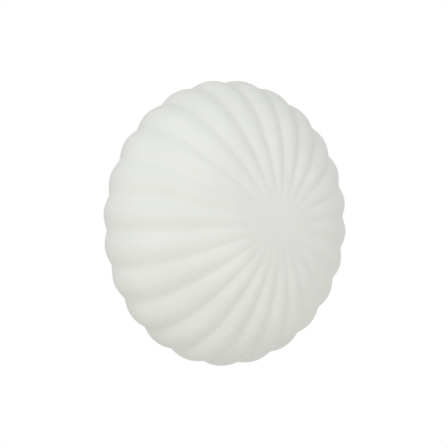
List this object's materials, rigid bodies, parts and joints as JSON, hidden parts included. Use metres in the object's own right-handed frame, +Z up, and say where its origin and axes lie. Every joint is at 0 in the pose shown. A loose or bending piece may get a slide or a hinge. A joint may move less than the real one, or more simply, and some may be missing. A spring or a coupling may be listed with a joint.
{
  "type": "wall lamp",
  "caption": "Round wall lamp with a domed, radially ribbed satin opal glass shade that snaps onto a flush steel base pan over plug-in bulbs.",
  "frame": {"origin": "middle of the wall bracket's back face, on the wall's surface, between its two slots", "axes": "+Z up, +Y into the wall, -Y out of the wall towards the room, +X right seen from the room"},
  "size_m": [0.299, 0.1345, 0.299],
  "materials": {
    "opal_glass": "satin, acid-etched opal glass",
    "gasket_foam": "matt white closed-cell foam",
    "white_paint": "satin white powder coat",
    "spring_steel": "bright rolled spring steel",
    "zinc_steel": "zinc-plated",
    "nickel": "nickel-plated, knurled",
    "rivet_aluminium": "plain",
    "holder_ceramic": "glazed white steatite",
    "bronze": "plain spring bronze",
    "bulb_plastic": "moulded white",
    "bulb_cover_plastic": "milky moulded plastic",
    "board_white": "white solder mask",
    "led_phosphor": "cast silicone with yellow phosphor",
    "pin_wire": "nickel wire",
    "block_plastic": "moulded natural polyamide",
    "brass": "turned",
    "live_sleeve": "brown insulation",
    "neutral_sleeve": "blue insulation",
    "earth_sleeve": "green and yellow insulation"
  },
  "bodies": {
    "base": {"shade_gasket": "gasket_foam", "base_pan": "white_paint", "spring_catch_top": "spring_steel", "spring_catch_left": "spring_steel", "spring_catch_right": "spring_steel", "catch_rivets": "rivet_aluminium", "wall_bracket": "zinc_steel", "bracket_studs": "zinc_steel", "stud_lock_nuts": "zinc_steel", "pan_washers": "nickel", "cap_nuts": "nickel", "lampholder_left": "holder_ceramic", "lampholder_right": "holder_ceramic", "holder_contacts_left": "bronze", "holder_contacts_right": "bronze", "holder_screws": "zinc_steel", "holder_nuts": "zinc_steel", "terminal_block": "block_plastic", "terminal_inserts": "brass", "terminal_screws": "zinc_steel", "block_fixing_screws": "zinc_steel", "earth_washer": "zinc_steel", "earth_screw": "brass", "earth_nut": "zinc_steel", "earth_tag": "zinc_steel", "live_wire_left": "live_sleeve", "live_wire_right": "live_sleeve", "neutral_wire_left": "neutral_sleeve", "neutral_wire_right": "neutral_sleeve", "earth_wire": "earth_sleeve"},
    "shade": {"glass_shade": "opal_glass"},
    "bulb_left": {"bulb_pins_left": "pin_wire", "bulb_base_left": "bulb_plastic", "bulb_cover_left": "bulb_cover_plastic", "led_board_left": "board_white", "led_chips_left": "led_phosphor"},
    "bulb_right": {"bulb_pins_right": "pin_wire", "bulb_base_right": "bulb_plastic", "bulb_cover_right": "bulb_cover_plastic", "led_board_right": "board_white", "led_chips_right": "led_phosphor"}
  },
  "joints": [
    {"name": "shade_pull", "type": "slide", "parent": "base", "child": "shade", "axis": [0, -1, 0], "range_m": [0, 0.12], "deforming": ["spring_catch_top", "spring_catch_left", "spring_catch_right"]},
    {"name": "bulb_left_pull", "type": "slide", "parent": "base", "child": "bulb_left", "axis": [0, -1, 0], "range_m": [0, 0.025]},
    {"name": "bulb_right_pull", "type": "slide", "parent": "base", "child": "bulb_right", "axis": [0, -1, 0], "range_m": [0, 0.025]}
  ]
}
